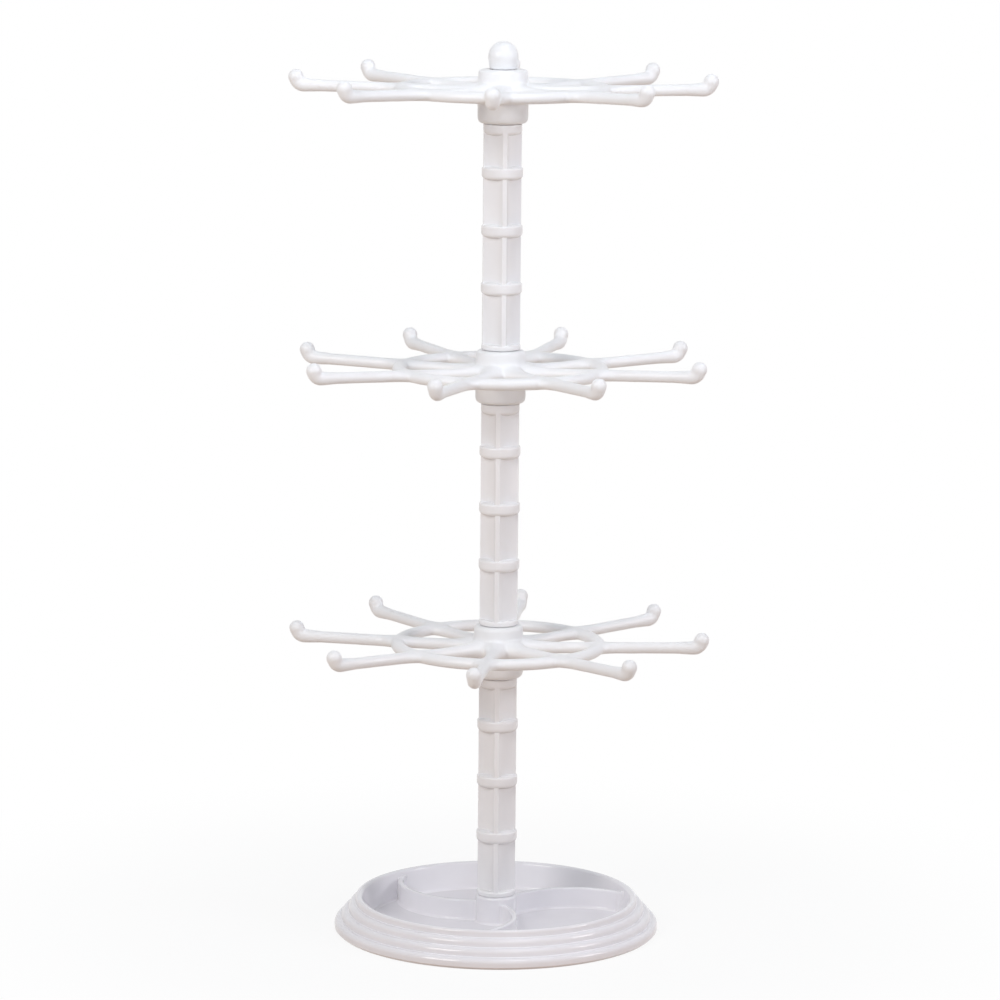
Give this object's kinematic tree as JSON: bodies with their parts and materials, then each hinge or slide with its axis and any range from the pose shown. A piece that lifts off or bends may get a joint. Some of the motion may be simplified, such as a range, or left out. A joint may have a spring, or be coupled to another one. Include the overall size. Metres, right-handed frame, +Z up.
{
  "type": "rotating jewelry stand",
  "caption": "Free-standing white plastic jewelry stand: tiers of turning hook wheels on a stacked ribbed post, over a round dish base with curved dividers.",
  "frame": {"origin": "on the ground, at the stand's turning axis", "axes": "+Z up along the axis on which the wheels turn, the front faces -Y"},
  "size_m": [0.1738, 0.1738, 0.3682],
  "materials": {
    "white_plastic": "gloss, moulded"
  },
  "bodies": {
    "stand": {"base_tray": "white_plastic", "lower_post": "white_plastic", "middle_post": "white_plastic", "upper_post": "white_plastic", "top_knob": "white_plastic"},
    "lower_wheel": {"lower_hook_wheel": "white_plastic"},
    "middle_wheel": {"middle_hook_wheel": "white_plastic"},
    "upper_wheel": {"upper_hook_wheel": "white_plastic"}
  },
  "joints": [
    {"name": "lower_wheel_spin", "type": "hinge", "parent": "stand", "child": "lower_wheel", "pos_m": [0, 0, 0.10665], "axis": [0, 0, 1], "continuous": true},
    {"name": "middle_wheel_spin", "type": "hinge", "parent": "stand", "child": "middle_wheel", "pos_m": [0, 0, 0.22085], "axis": [0, 0, 1], "continuous": true},
    {"name": "upper_wheel_spin", "type": "hinge", "parent": "stand", "child": "upper_wheel", "pos_m": [0, 0, 0.33505], "axis": [0, 0, 1], "continuous": true}
  ]
}
